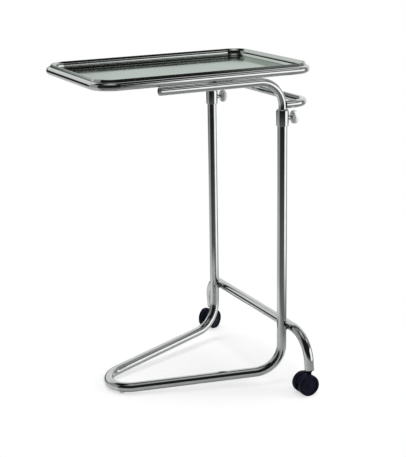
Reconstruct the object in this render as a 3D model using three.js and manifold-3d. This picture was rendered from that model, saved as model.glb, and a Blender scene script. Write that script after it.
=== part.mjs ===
// Two-post instrument and overbed table: a bent-tube frame on two casters carries a telescoping
// upper frame, and a lift-off tray sits in the upper frame's ring. Millimetres, +Z up, floor at z = 0.
// The tray reaches forward along -X, the casters and the push handle are at the back (+X).
import * as THREE from 'three';
import { mergeVertices } from 'three/addons/utils/BufferGeometryUtils.js';
import Module from 'manifold-3d';

const wasm = await Module();
wasm.setup();

// ---------------------------------------------------------------- driving dimensions
const GAP = 0.3;                 // clearance between solids that touch on the real object
const TUBE_SIDES = 16;           // facets round a tube
const WHEEL_SIDES = 24;          // facets round a caster wheel
const BEAD_SIDES = 8;            // facets round the tray's rolled edge
const CORNER = Math.cos(Math.PI / TUBE_SIDES);

const POSTS_X = 221;             // plane of the two posts, from the middle of the table
const POST_Y = 216;              // half the distance between the posts

const LOWER_OUTER = 14.3;        // 28.6 mm tube: posts, legs and crossbar
const LOWER_INNER = 13.05;
const UPPER_OUTER = 11.1;        // 22.2 mm tube: uprights, ring and handle
const UPPER_INNER = 9.85;

const LEG_REACH = 614;           // where the straight legs would meet, forward of the posts
const LEG_Z = 46.5;              // leg axis height below the posts
const TOE_Z = 17;                // leg axis height at the toe
const TOE_RADIUS = 74;
const FOOT_RADIUS = 85;
const POST_TOP = 821;

const CROSSBAR_X = 2 * LOWER_OUTER + GAP;
const CROSSBAR_Z = 180.2;
const ARM_Y = 312.4;
const ARM_RADIUS = 78;
const ARM_END_Z = 74;
const ARM_LEAN = 0.08;           // how far the arms lean back going down, in radians
const ARM_END_X = CROSSBAR_X + (CROSSBAR_Z - ARM_END_Z) * Math.tan(ARM_LEAN);
const WELD_REACH = 9;

const COLLAR = { outer: 18, bottom: 786, shoulder: 824.6, top: 833, round: 3, bossRadius: 7, bossReach: 4 };
const BUSH = { bottom: 788, flangeZ: 821.3, top: 824.3, flangeRadius: 14, radius: 12.5 };
const CLAMP_Z = 807;
const SCREW = { radius: 3.2, tip: 13.6, hub: 27.5, hubEnd: 31.6, hubRadius: 5, end: 39.5 };
const PAD_RADIUS = 2.8;
const KNOB = { start: 32, depth: 15, radius: 19, hub: 7, recess: 1.5, sides: 20 };

const SUPPORT_Z = 914;           // axis of the horizontal run that carries the tray ring
const SUPPORT_FRONT = -376;
const UPRIGHT_RADIUS = 75;
const UPRIGHT_END_Z = 200;       // lowest point of the uprights inside the posts, fully lowered
const SLIDE = { length: 20, spigot: 18, chamfer: 1.5 };
const END_PLUG = { cap: 3.5, chamfer: 1.5, spigot: 14 };

const RING_Z = SUPPORT_Z + 2 * UPPER_OUTER + GAP;
const RING = { front: -545, back: 103, halfWidth: 212, radius: 56 };
const TAB = { x: -210, halfLength: 5, halfWidth: 8, halfHeight: 5 };
const VENT_RADIUS = 3;           // vent holes under the ring

const HANDLE_Z = COLLAR.top + GAP + UPPER_OUTER;
const HANDLE = { x: 91, radius: 56 };

const BEAD_RADIUS = 3.5;         // rolled edge of the tray
const BEAD_Z = RING_Z + UPPER_OUTER + GAP + BEAD_RADIUS;
const TRAY = {
  front: -541,
  back: 99,
  halfWidth: 208,
  radius: 52,
  sheet: 1.2,
  depth: 20,
  ledge: 9,                      // width of the flange
  flare: 13,                     // how far the walls slope in
};
const RIM_LAP = 2;               // how far the flange stops short of the rolled edge's centre

const CASTER = { trail: 12.5, wheel: 31.75, hub: 25.5, inner: 7.3, outer: 27, dish: 2.5, shoulder: 4 };
const SWIVEL = { near: 0, far: Math.PI / 6 };   // turn of each caster from trailing along -X
const YOKE = { radius: 26.5, nose: 13, web: 13, boss: 8.5, neckTop: 30.6, bossFoot: 32.8, top: 70.6 };
const STEM = { radius: 4, bottom: 54, top: 86 };
const SOCKET = { lip: 2.3, depth: 15 };
const AXLE_RADIUS = 2.5;
const GLIDE = { radius: 8, angle: THREE.MathUtils.degToRad(40), height: 9, clearance: 1 };

const SIDES = { near: -1, far: 1 };

// ---------------------------------------------------------------- finishes
const polished = () => new THREE.MeshStandardMaterial({ color: 0xc9ccce, roughness: 0.12, metalness: 1 });
const satin = () => new THREE.MeshStandardMaterial({ color: 0xb8bcb8, roughness: 0.35, metalness: 1 });
const nylon = () => new THREE.MeshStandardMaterial({ color: 0xe6e8e8, roughness: 0.45, metalness: 0 });
const blackPlastic = () => new THREE.MeshStandardMaterial({ color: 0x0d1018, roughness: 0.45, metalness: 0 });
const blackRubber = () => new THREE.MeshStandardMaterial({ color: 0x0c0e14, roughness: 0.7, metalness: 0 });

// ---------------------------------------------------------------- helpers
const vec = (x, y, z) => new THREE.Vector3(x, y, z);

// Radius of a faceted bore that clears a shaft of the given radius all round.
const bore = (radius) => (radius + GAP) / CORNER;

// A bent tube's centre line: straight runs joined by arcs. Each run is one step and each arc is
// `arcSteps` steps, so a swept section has facets only where the tube bends.
class BentPath extends THREE.Curve {
  constructor(corners, radii, arcSteps = 6) {
    super();
    this.stations = [];
    this.add(corners[0], corners[1].clone().sub(corners[0]).normalize());
    for (let i = 1; i < corners.length - 1; i++) {
      this.bend(corners[i - 1], corners[i], corners[i + 1], radii[i - 1], arcSteps);
    }
    const last = corners.length - 1;
    this.add(corners[last], corners[last].clone().sub(corners[last - 1]).normalize());
  }

  add(point, tangent) {
    this.stations.push({ point, tangent });
  }

  bend(before, corner, after, radius, arcSteps) {
    const into = corner.clone().sub(before).normalize();
    const out = after.clone().sub(corner).normalize();
    const turn = into.angleTo(out);
    const start = corner.clone().addScaledVector(into, -radius * Math.tan(turn / 2));
    const inward = out.clone().addScaledVector(into, -out.dot(into)).normalize();
    const centre = start.clone().addScaledVector(inward, radius);
    for (let k = 0; k <= arcSteps; k++) {
      const angle = turn * k / arcSteps;
      const point = centre.clone()
        .addScaledVector(inward, -radius * Math.cos(angle))
        .addScaledVector(into, radius * Math.sin(angle));
      const tangent = inward.clone().multiplyScalar(Math.sin(angle)).addScaledVector(into, Math.cos(angle));
      this.add(point, tangent);
    }
  }

  get steps() {
    return this.stations.length - 1;
  }

  getPoint(t, target = vec(0, 0, 0)) {
    const place = t * this.steps;
    const i = Math.min(Math.floor(place), this.steps - 1);
    return target.lerpVectors(this.stations[i].point, this.stations[i + 1].point, place - i);
  }

  getPointAt(t, target) {
    return this.getPoint(t, target);
  }

  getTangentAt(t, target = vec(0, 0, 0)) {
    return target.copy(this.stations[Math.round(t * this.steps)].tangent);
  }
}

// A tube swept along a path; a bore of 0 makes a solid bar.
function tube(path, outer, inner = 0, sides = TUBE_SIDES) {
  const section = new THREE.Shape().absarc(0, 0, outer, 0, 2 * Math.PI);
  if (inner > 0) {
    section.holes.push(new THREE.Path().absarc(0, 0, inner, 0, 2 * Math.PI, true));
  }
  const options = { steps: path.steps, curveSegments: sides / 2, extrudePath: path };
  return new THREE.ExtrudeGeometry(section, options);
}

// A turned piece. The profile is [radius, height] pairs, outside edge rising; it starts and ends on
// the axis, or closes on itself. The axis is Z unless it is named.
function turned(profile, axis = 'z', sides = TUBE_SIDES) {
  const points = profile.map(([radius, height]) => new THREE.Vector2(radius, height));
  if (points[0].x > 0) {
    points.push(points[0].clone());
  }
  const geometry = new THREE.LatheGeometry(points, sides);
  if (axis === 'z') {
    geometry.rotateX(Math.PI / 2);
  }
  if (axis === 'x') {
    geometry.rotateZ(-Math.PI / 2);
  }
  return geometry;
}

const rod = (radius, from, to, axis) =>
  turned([[0, from], [radius, from], [radius, to], [0, to]], axis);

const block = (low, high) => new THREE.BoxGeometry(high.x - low.x, high.y - low.y, high.z - low.z)
  .translate((low.x + high.x) / 2, (low.y + high.y) / 2, (low.z + high.z) / 2);

function toSolid(geometry) {
  const bare = geometry.clone();
  bare.deleteAttribute('normal');
  bare.deleteAttribute('uv');
  const merged = mergeVertices(bare, 1e-4);
  const vertProperties = new Float32Array(merged.attributes.position.array);
  const triVerts = new Uint32Array(merged.index.array);
  return new wasm.Manifold(new wasm.Mesh({ numProp: 3, vertProperties, triVerts }));
}

function toGeometry(solid) {
  const result = solid.getMesh();
  const geometry = new THREE.BufferGeometry();
  geometry.setAttribute('position', new THREE.BufferAttribute(result.vertProperties, result.numProp));
  geometry.setIndex(new THREE.BufferAttribute(result.triVerts, 1));
  geometry.computeVertexNormals();
  return geometry;
}

function join(first, ...others) {
  return toGeometry(others.reduce((solid, other) => solid.add(toSolid(other)), toSolid(first)));
}

function cut(body, ...tools) {
  return toGeometry(tools.reduce((solid, tool) => solid.subtract(toSolid(tool)), toSolid(body)));
}

// Corners of a horizontal U that starts and ends at mid length, and its mirror half.
function halfLoop(loop, z, end) {
  const middle = (loop.front + loop.back) / 2;
  const x = end === 'front' ? loop.front : loop.back;
  const y = end === 'front' ? -loop.halfWidth : loop.halfWidth;
  const corners = [vec(middle, y, z), vec(x, y, z), vec(x, -y, z), vec(middle, -y, z)];
  return new BentPath(corners, [loop.radius, loop.radius], 4);
}

function closedTube(loop, z, outer, inner, sides) {
  const halves = ['front', 'back'].map((end) => tube(halfLoop(loop, z, end), outer, inner, sides));
  return join(...halves);
}

// ---------------------------------------------------------------- assembly
const table = new THREE.Group();
table.position.x = POSTS_X;

function place(name, geometry, material) {
  const mesh = new THREE.Mesh(geometry, material);
  mesh.name = name;
  table.add(mesh);
}

// ---------------------------------------------------------------- fixed lower frame
// One tube: down a post, forward along a leg, round the toe, and back up the other post.
function baseFrame() {
  const toeX = LEG_REACH - TOE_RADIUS * (1 / Math.sin(Math.atan2(POST_Y, LEG_REACH)) - 1);
  const apexZ = LEG_Z - (LEG_Z - TOE_Z) * LEG_REACH / toeX;
  const corners = [
    vec(0, -POST_Y, POST_TOP),
    vec(0, -POST_Y, LEG_Z),
    vec(-LEG_REACH, 0, apexZ),
    vec(0, POST_Y, LEG_Z),
    vec(0, POST_Y, POST_TOP),
  ];
  const path = new BentPath(corners, [FOOT_RADIUS, TOE_RADIUS, FOOT_RADIUS]);
  const screwHoles = Object.values(SIDES).map((side) =>
    rod(bore(SCREW.radius), 0, 2 * LOWER_OUTER, 'x').translate(0, side * POST_Y, CLAMP_Z));
  return cut(tube(path, LOWER_OUTER, LOWER_INNER), ...screwHoles);
}

// An upside-down U behind the posts, welded to them, with a caster at each end.
function crossbar() {
  const corners = [
    vec(ARM_END_X, -ARM_Y, ARM_END_Z),
    vec(CROSSBAR_X, -ARM_Y, CROSSBAR_Z),
    vec(CROSSBAR_X, ARM_Y, CROSSBAR_Z),
    vec(ARM_END_X, ARM_Y, ARM_END_Z),
  ];
  return tube(new BentPath(corners, [ARM_RADIUS, ARM_RADIUS]), LOWER_OUTER, LOWER_INNER);
}

// Ring of weld metal round the point where the crossbar touches a post.
function crossbarWeld(side) {
  const post = rod(bore(LOWER_OUTER), 0, POST_TOP, 'z').translate(0, side * POST_Y, 0);
  const bar = rod(bore(LOWER_OUTER), -ARM_Y, ARM_Y, 'y').translate(CROSSBAR_X, 0, CROSSBAR_Z);
  const fill = rod(WELD_REACH, CROSSBAR_X / 2 - WELD_REACH, CROSSBAR_X / 2 + WELD_REACH, 'x')
    .translate(0, side * POST_Y, CROSSBAR_Z);
  return cut(fill, post, bar);
}

// Clamp collar over the post's top end, with a boss for the screw.
function collar(side) {
  const { outer, bottom, shoulder, top, round, bossRadius, bossReach } = COLLAR;
  const body = turned([
    [bore(LOWER_OUTER), bottom],
    [outer, bottom],
    [outer, top - round],
    [outer - 0.3 * round, top - 0.3 * round],
    [outer - round, top],
    [bore(UPPER_OUTER), top],
    [bore(UPPER_OUTER), shoulder],
    [bore(LOWER_OUTER), shoulder],
  ]);
  const boss = rod(bossRadius, LOWER_OUTER, outer + bossReach, 'x').translate(0, 0, CLAMP_Z);
  const hole = rod(bore(SCREW.radius), 0, 2 * outer, 'x').translate(0, 0, CLAMP_Z);
  const inside = rod(bore(LOWER_OUTER), 0, shoulder, 'z');
  return cut(join(body, boss), hole, inside).translate(0, side * POST_Y, 0);
}

// Nylon guide in the post's mouth that centres the upright.
function guideBush(side) {
  const { bottom, flangeZ, top, flangeRadius, radius } = BUSH;
  const body = turned([
    [bore(UPPER_OUTER), bottom],
    [radius, bottom],
    [radius, flangeZ],
    [flangeRadius, flangeZ],
    [flangeRadius, top],
    [bore(UPPER_OUTER), top],
  ]);
  const hole = rod(bore(SCREW.radius), 0, 2 * flangeRadius, 'x').translate(0, 0, CLAMP_Z);
  return cut(body, hole).translate(0, side * POST_Y, 0);
}

// Nylon button under the toe; its top follows the tube.
function toeGlide(side) {
  const halfAngle = Math.atan2(POST_Y, LEG_REACH);
  const arcCentre = TOE_RADIUS / Math.sin(halfAngle) - LEG_REACH;
  const x = arcCentre - TOE_RADIUS * Math.cos(GLIDE.angle);
  const y = side * TOE_RADIUS * Math.sin(GLIDE.angle);
  const drop = TOE_RADIUS * (1 - Math.cos(GLIDE.angle));
  const axisZ = TOE_Z + drop * (LEG_Z - TOE_Z) / (TOE_RADIUS - arcCentre);
  const tubeCut = rod(LOWER_OUTER + GLIDE.clearance, -LOWER_OUTER, LOWER_OUTER, 'y')
    .rotateZ(-side * GLIDE.angle)
    .translate(x, y, axisZ);
  return cut(rod(GLIDE.radius, 0, GLIDE.height, 'z').translate(x, y, 0), tubeCut);
}

// Plastic socket pressed into a crossbar end and leaning with it; the caster stem stands upright in it.
function casterSocket(side) {
  const shank = LOWER_INNER * CORNER - GAP;
  const body = turned([
    [0, -SOCKET.lip],
    [LOWER_OUTER, -SOCKET.lip],
    [LOWER_OUTER, -GAP],
    [shank, -GAP],
    [shank, SOCKET.depth],
    [0, SOCKET.depth],
  ]).rotateY(-ARM_LEAN);
  const hole = rod(bore(STEM.radius), -2 * SOCKET.lip, SOCKET.depth + SOCKET.lip, 'z');
  return cut(body, hole).translate(ARM_END_X, side * ARM_Y, ARM_END_Z);
}

place('base_frame_tube', baseFrame(), polished());
place('caster_crossbar', crossbar(), polished());
for (const [name, side] of Object.entries(SIDES)) {
  place(`${name}_crossbar_weld`, crossbarWeld(side), satin());
  place(`${name}_post_collar`, collar(side), polished());
  place(`${name}_guide_bush`, guideBush(side), nylon());
  place(`${name}_caster_socket`, casterSocket(side), blackPlastic());
  place(`${name}_toe_glide`, toeGlide(side), nylon());
}

// ---------------------------------------------------------------- clamp screws
function clampPad() {
  return rod(PAD_RADIUS, UPPER_OUTER + GAP, SCREW.tip - GAP, 'x');
}

function clampScrew() {
  const { radius, tip, hub, hubEnd, hubRadius, end } = SCREW;
  return turned([
    [0, tip],
    [radius, tip],
    [radius, hub],
    [hubRadius, hub],
    [hubRadius, hubEnd],
    [radius, hubEnd],
    [radius, end],
    [0, end],
  ], 'x');
}

// Round white knob, hollowed a little on the side that faces the post.
function clampKnob() {
  const { start, depth, radius, hub, recess, sides } = KNOB;
  const end = start + depth;
  return turned([
    [0, SCREW.end + GAP],
    [bore(SCREW.radius), SCREW.end + GAP],
    [bore(SCREW.radius), start],
    [hub, start],
    [hub + 1, start + recess],
    [radius - 4, start + recess],
    [radius - 3, start],
    [radius, start + 3],
    [radius, end - 5],
    [radius - 4, end - 1],
    [0, end],
  ], 'x', sides);
}

for (const [name, side] of Object.entries(SIDES)) {
  const pieces = { pad: [clampPad(), nylon()], screw: [clampScrew(), satin()], knob: [clampKnob(), nylon()] };
  for (const [piece, [geometry, material]] of Object.entries(pieces)) {
    place(`${name}_clamp_${piece}`, geometry.translate(0, side * POST_Y, CLAMP_Z), material);
  }
}

// ---------------------------------------------------------------- twin-wheel casters
// Modelled round the axle and lifted to the axle's height.
function casterBody() {
  const { radius, nose, web, boss, neckTop, bossFoot, top } = YOKE;
  const outline = new THREE.Shape()
    .absarc(0, 0, nose, Math.PI, 2 * Math.PI, false)
    .absarc(0, 0, radius, Math.PI * 0.06, Math.PI * 0.94, false);
  const plate = new THREE.ExtrudeGeometry(outline, { depth: web, curveSegments: 6, bevelEnabled: false })
    .rotateX(Math.PI / 2)
    .translate(0, web / 2, 0);
  const neck = turned([
    [0, radius / 2],
    [web / 2, radius / 2],
    [web / 2, neckTop],
    [boss, bossFoot],
    [boss, top - CASTER.wheel],
    [0, top - CASTER.wheel],
  ]).translate(CASTER.trail, 0, 0);
  const stemHole = rod(bore(STEM.radius), STEM.bottom - GAP - CASTER.wheel, top, 'z')
    .translate(CASTER.trail, 0, 0);
  const axleHole = rod(bore(AXLE_RADIUS), -web, web, 'y');
  return cut(join(plate, neck), stemHole, axleHole);
}

const casterStem = () => rod(STEM.radius, STEM.bottom - CASTER.wheel, STEM.top - CASTER.wheel, 'z')
  .translate(CASTER.trail, 0, 0);

const casterAxle = () => rod(AXLE_RADIUS, 1 - CASTER.outer, CASTER.outer - 1, 'y');

// Wheel centre with a dished outer face; the wheel at +Y, mirrored for the other one by a half turn.
function wheelHub() {
  const { hub, inner, outer, dish } = CASTER;
  return turned([
    [bore(AXLE_RADIUS), inner],
    [hub, inner],
    [hub, outer],
    [hub - 2, outer],
    [hub - 4, outer - dish],
    [bore(AXLE_RADIUS), outer - dish],
  ], 'y', WHEEL_SIDES);
}

function wheelTyre() {
  const { wheel, hub, inner, outer, shoulder } = CASTER;
  return turned([
    [hub + GAP, inner],
    [wheel - shoulder / 2, inner],
    [wheel, inner + shoulder / 2],
    [wheel, outer - shoulder],
    [wheel - shoulder + 1, outer],
    [hub + GAP, outer],
  ], 'y', WHEEL_SIDES);
}

for (const [name, side] of Object.entries(SIDES)) {
  const moveTo = (geometry) => geometry
    .translate(-CASTER.trail, 0, CASTER.wheel)
    .rotateZ(SWIVEL[name])
    .translate(ARM_END_X, side * ARM_Y, 0);
  place(`${name}_caster_body`, moveTo(casterBody()), blackPlastic());
  place(`${name}_caster_stem`, moveTo(casterStem()), satin());
  place(`${name}_caster_axle`, moveTo(casterAxle()), satin());
  const turns = { outer: side > 0 ? 0 : Math.PI, inner: side > 0 ? Math.PI : 0 };
  for (const [wheelName, turn] of Object.entries(turns)) {
    place(`${name}_${wheelName}_wheel_hub`, moveTo(wheelHub().rotateZ(turn)), blackPlastic());
    place(`${name}_${wheelName}_wheel_tyre`, moveTo(wheelTyre().rotateZ(turn)), blackRubber());
  }
}

// ---------------------------------------------------------------- telescoping upper frame
// Upright that slides in a post and turns forward to carry the ring.
function upright(side) {
  const corners = [
    vec(0, side * POST_Y, UPRIGHT_END_Z),
    vec(0, side * POST_Y, SUPPORT_Z),
    vec(SUPPORT_FRONT, side * POST_Y, SUPPORT_Z),
  ];
  return tube(new BentPath(corners, [UPRIGHT_RADIUS]), UPPER_OUTER, UPPER_INNER);
}

// Nylon slide on the upright's lower end, running in the post.
function slidePlug(side) {
  const spigot = UPPER_INNER * CORNER - GAP;
  const slide = LOWER_INNER * CORNER - GAP;
  const bottom = UPRIGHT_END_Z - SLIDE.length;
  return turned([
    [0, bottom],
    [slide - SLIDE.chamfer, bottom],
    [slide, bottom + SLIDE.chamfer],
    [slide, UPRIGHT_END_Z - GAP],
    [spigot, UPRIGHT_END_Z - GAP],
    [spigot, UPRIGHT_END_Z + SLIDE.spigot],
    [0, UPRIGHT_END_Z + SLIDE.spigot],
  ]).translate(0, side * POST_Y, 0);
}

// Cap in the support tube's open front end.
function endPlug(side) {
  const spigot = UPPER_INNER * CORNER - GAP;
  const tip = SUPPORT_FRONT - END_PLUG.cap;
  return turned([
    [0, tip],
    [UPPER_OUTER - END_PLUG.chamfer, tip],
    [UPPER_OUTER, tip + END_PLUG.chamfer],
    [UPPER_OUTER, SUPPORT_FRONT - GAP],
    [spigot, SUPPORT_FRONT - GAP],
    [spigot, SUPPORT_FRONT + END_PLUG.spigot],
    [0, SUPPORT_FRONT + END_PLUG.spigot],
  ], 'x').translate(0, side * POST_Y, SUPPORT_Z);
}

// Closed ring of tube that the tray drops into, with two vent holes underneath from its welding.
function trayRing() {
  const vents = Object.values(SIDES).map((side) =>
    rod(VENT_RADIUS, RING_Z - 2 * UPPER_OUTER, RING_Z - UPPER_INNER + VENT_RADIUS, 'z')
      .translate(RING.front + 2 * RING.radius, side * RING.halfWidth, 0));
  return cut(closedTube(RING, RING_Z, UPPER_OUTER, UPPER_INNER), ...vents);
}

// Weld metal on both sides of the line where the ring touches a support tube.
function ringTab(side) {
  const contact = vec(TAB.x, side * (POST_Y + RING.halfWidth) / 2, (SUPPORT_Z + RING_Z) / 2);
  const reach = vec(TAB.halfLength, TAB.halfWidth, TAB.halfHeight);
  const fill = block(contact.clone().sub(reach), contact.clone().add(reach));
  const support = rod(bore(UPPER_OUTER), 2 * TAB.x, 0, 'x').translate(0, side * POST_Y, SUPPORT_Z);
  const ring = rod(bore(UPPER_OUTER), 2 * TAB.x, 0, 'x').translate(0, side * RING.halfWidth, RING_Z);
  return cut(fill, support, ring);
}

// Push handle: a U welded to the backs of the two uprights, its ends shaped to them.
function pushHandle() {
  const corners = [
    vec(0, -POST_Y, HANDLE_Z),
    vec(HANDLE.x, -POST_Y, HANDLE_Z),
    vec(HANDLE.x, POST_Y, HANDLE_Z),
    vec(0, POST_Y, HANDLE_Z),
  ];
  const bar = tube(new BentPath(corners, [HANDLE.radius, HANDLE.radius]), UPPER_OUTER, UPPER_INNER);
  const uprights = Object.values(SIDES).map((side) =>
    rod(bore(UPPER_OUTER), COLLAR.top, SUPPORT_Z, 'z').translate(0, side * POST_Y, 0));
  return cut(bar, ...uprights);
}

for (const [name, side] of Object.entries(SIDES)) {
  place(`${name}_upright_tube`, upright(side), polished());
  place(`${name}_slide_plug`, slidePlug(side), nylon());
  place(`${name}_front_end_plug`, endPlug(side), satin());
  place(`${name}_ring_tab`, ringTab(side), satin());
}
place('tray_ring', trayRing(), polished());
place('push_handle', pushHandle(), polished());

// ---------------------------------------------------------------- lift-off tray
function roundedRectangle(x0, x1, halfWidth, radius) {
  return new THREE.Shape()
    .absarc(x1 - radius, halfWidth - radius, radius, 0, Math.PI / 2, false)
    .absarc(x0 + radius, halfWidth - radius, radius, Math.PI / 2, Math.PI, false)
    .absarc(x0 + radius, radius - halfWidth, radius, Math.PI, 1.5 * Math.PI, false)
    .absarc(x1 - radius, radius - halfWidth, radius, 1.5 * Math.PI, 2 * Math.PI, false);
}

// A block whose plan is the tray's rim line moved in by `inset`. Its foot, below z, narrows by
// `flare` over `depth`.
function pan(inset, z, rise, depth = 0, flare = 0) {
  const plan = roundedRectangle(
    TRAY.front + inset + flare,
    TRAY.back - inset - flare,
    TRAY.halfWidth - inset - flare,
    TRAY.radius - inset - flare,
  );
  const options = { depth: rise, curveSegments: 5, bevelEnabled: depth > 0, bevelSegments: 1 };
  options.bevelThickness = depth;
  options.bevelSize = flare;
  return new THREE.ExtrudeGeometry(plan, options).translate(0, 0, z);
}

function tray() {
  const { sheet, depth, ledge, flare, front, back, halfWidth } = TRAY;
  const top = BEAD_Z - BEAD_RADIUS + sheet;
  const floor = BEAD_Z + BEAD_RADIUS - depth;
  const above = block(
    vec(front - ledge, -halfWidth - ledge, top),
    vec(back + ledge, halfWidth + ledge, top + 4 * depth),
  );
  const flange = toSolid(pan(RIM_LAP, top - sheet, sheet));
  const bead = toSolid(closedTube(TRAY, BEAD_Z, BEAD_RADIUS, 0, BEAD_SIDES));
  const pocketDepth = top - floor;
  const shellDepth = pocketDepth + sheet;
  // The bevel grows outward over `depth`, so each frustum's wide end is level with the flange.
  const shell = toSolid(pan(ledge - sheet, top, depth, shellDepth, flare)).subtract(toSolid(above));
  const pocket = toSolid(pan(ledge, top, depth, pocketDepth, flare));
  return toGeometry(flange.add(shell).add(bead).subtract(pocket));
}

place('instrument_tray', tray(), satin());

export default new THREE.Group().add(table);
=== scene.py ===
"""Looks for the two-post instrument and overbed table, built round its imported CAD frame.

Everything is in metres in the CAD's own frame: +Z up, the floor at z = 0, the tray reaching out along -X,
the casters and the push handle at +X. "near" pieces are on the -Y side and "far" ones on the +Y side.
"""

import math

import bpy
from mathutils import Matrix, Vector


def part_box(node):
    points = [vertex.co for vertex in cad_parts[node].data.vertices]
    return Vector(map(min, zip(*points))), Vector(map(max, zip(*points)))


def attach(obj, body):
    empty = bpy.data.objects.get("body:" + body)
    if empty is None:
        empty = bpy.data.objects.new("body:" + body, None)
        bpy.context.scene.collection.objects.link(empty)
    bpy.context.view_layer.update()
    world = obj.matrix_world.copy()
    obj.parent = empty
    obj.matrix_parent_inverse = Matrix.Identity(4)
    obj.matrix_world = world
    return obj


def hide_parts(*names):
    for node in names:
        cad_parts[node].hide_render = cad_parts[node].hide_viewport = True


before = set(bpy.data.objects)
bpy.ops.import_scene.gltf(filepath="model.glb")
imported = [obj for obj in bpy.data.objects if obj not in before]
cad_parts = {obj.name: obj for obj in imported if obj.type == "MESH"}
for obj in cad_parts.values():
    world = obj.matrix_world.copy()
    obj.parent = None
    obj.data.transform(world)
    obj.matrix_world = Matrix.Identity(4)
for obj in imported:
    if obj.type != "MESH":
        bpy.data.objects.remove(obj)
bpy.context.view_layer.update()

# ------------------------------------------------------------------ sizes, from the frame
MM = 0.001
SIDES = {"near": -1.0, "far": 1.0}
GAP = 0.3 * MM  # clearance between pieces that touch

BASE_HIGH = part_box("base_frame_tube")[1]
UPRIGHT_LOW, UPRIGHT_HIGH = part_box("near_upright_tube")
CROSSBAR_LOW, CROSSBAR_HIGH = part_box("caster_crossbar")
RING_LOW, RING_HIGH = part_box("tray_ring")
TRAY_LOW, TRAY_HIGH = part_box("instrument_tray")
HANDLE_LOW, HANDLE_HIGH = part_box("push_handle")
COLLAR_LOW, COLLAR_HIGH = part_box("near_post_collar")
KNOB_LOW, KNOB_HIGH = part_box("near_clamp_knob")
SCREW_LOW, SCREW_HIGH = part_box("near_clamp_screw")
TYRE_LOW, TYRE_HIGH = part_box("near_outer_wheel_tyre")
PLUG_LOW, PLUG_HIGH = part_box("near_front_end_plug")
STEM_LOW, STEM_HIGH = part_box("near_caster_stem")
AXLE_LOW, AXLE_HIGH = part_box("near_caster_axle")

LOWER_OUTER = 14.3 * MM  # posts, legs and crossbar
LOWER_INNER = 13.05 * MM
UPPER_OUTER = 11.1 * MM  # uprights, ring and handle
UPPER_INNER = 9.85 * MM

POSTS_X = BASE_HIGH.x - LOWER_OUTER
POST_Y = BASE_HIGH.y - LOWER_OUTER
POST_TOP = BASE_HIGH.z
LEG_REACH = 614 * MM  # from the posts to where the straight lines of the legs meet
LEG_Z = 46.5 * MM  # height of the legs' centre line below the posts
TOE_Z = 17 * MM  # and at the toe
TOE_RADIUS = 74 * MM
FOOT_RADIUS = 85 * MM  # bend from a post into its leg

CROSSBAR_X = CROSSBAR_LOW.x + LOWER_OUTER
CROSSBAR_Z = CROSSBAR_HIGH.z - LOWER_OUTER
ARM_Y = CROSSBAR_HIGH.y - LOWER_OUTER
ARM_RADIUS = 78 * MM
ARM_END_X = (STEM_LOW.x + STEM_HIGH.x) / 2
ARM_LEAN = math.atan2(ARM_END_X - CROSSBAR_X, CROSSBAR_Z - CROSSBAR_LOW.z)
ARM_END_Z = CROSSBAR_LOW.z + LOWER_OUTER * math.sin(ARM_LEAN)

SUPPORT_Z = UPRIGHT_HIGH.z - UPPER_OUTER
SUPPORT_FRONT = UPRIGHT_LOW.x
UPRIGHT_RADIUS = 75 * MM
UPRIGHT_END_Z = UPRIGHT_LOW.z

RING_Z = (RING_LOW.z + RING_HIGH.z) / 2
RING_RADIUS = 56 * MM
HANDLE_Z = (HANDLE_LOW.z + HANDLE_HIGH.z) / 2
HANDLE_X = HANDLE_HIGH.x - UPPER_OUTER
HANDLE_RADIUS = 56 * MM

CLAMP_Z = (SCREW_LOW.z + SCREW_HIGH.z) / 2
WHEEL_RADIUS = (TYRE_HIGH.x - TYRE_LOW.x) / 2
AXLE_X = (TYRE_HIGH.x + TYRE_LOW.x) / 2
AXLE_Z = (TYRE_HIGH.z + TYRE_LOW.z) / 2

# ------------------------------------------------------------------ mesh helpers
TUBE_SIDES = 64
ARC_STEP = math.radians(3)
RUN_STEP = 20 * MM  # the longest stretch of a straight run between two stations
SHARP = math.radians(38)
STEEP = 0.9  # a direction with more z than this counts as upright
STRAIGHT = 0.05  # a corner that turns less than this stays as it is, in radians
EDGE_SHARE = 0.48  # the most of an edge that the arc at one of its ends takes
ON_AXIS = 1e-7  # a smaller radius is one point on the axis


def new_piece(name, verts, faces, body, material, nodes, uv=None, move=None):
    """A smooth-shaded mesh that rides on a body and stands for some CAD nodes."""
    if move is not None:
        verts = [move @ Vector(v) for v in verts]
    mesh = bpy.data.meshes.new(name)
    mesh.from_pydata([tuple(v) for v in verts], [], faces)
    mesh.validate()
    mesh.update()
    mesh.polygons.foreach_set("use_smooth", [True] * len(mesh.polygons))
    mesh.set_sharp_from_angle(angle=SHARP)
    if uv is not None:
        layer = mesh.uv_layers.new(name="wrap")
        for loop in mesh.loops:
            layer.data[loop.index].uv = uv[loop.vertex_index]
    mesh.materials.append(material)
    piece = bpy.data.objects.new(name, mesh)
    bpy.context.scene.collection.objects.link(piece)
    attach(piece, body)
    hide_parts(*nodes)


def bent_path(corners, radii, closed=False):
    """Points and directions along straight runs joined by arcs."""
    corners = [Vector(c) for c in corners]
    count = len(corners)
    points, ways = [], []
    if not closed:
        points.append(corners[0])
        ways.append((corners[1] - corners[0]).normalized())
    for i in range(count) if closed else range(1, count - 1):
        radius = radii[i if closed else i - 1]
        into = (corners[i] - corners[i - 1]).normalized()
        out = (corners[(i + 1) % count] - corners[i]).normalized()
        turn = into.angle(out)
        inward = (out - into * out.dot(into)).normalized()
        centre = corners[i] - into * (radius * math.tan(turn / 2)) + inward * radius
        steps = max(4, math.ceil(turn / ARC_STEP))
        for k in range(steps + 1):
            angle = turn * k / steps
            points.append(centre - inward * (radius * math.cos(angle)) + into * (radius * math.sin(angle)))
            ways.append(inward * math.sin(angle) + into * math.cos(angle))
    if not closed:
        points.append(corners[-1])
        ways.append((corners[-1] - corners[-2]).normalized())
    return points, ways


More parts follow.
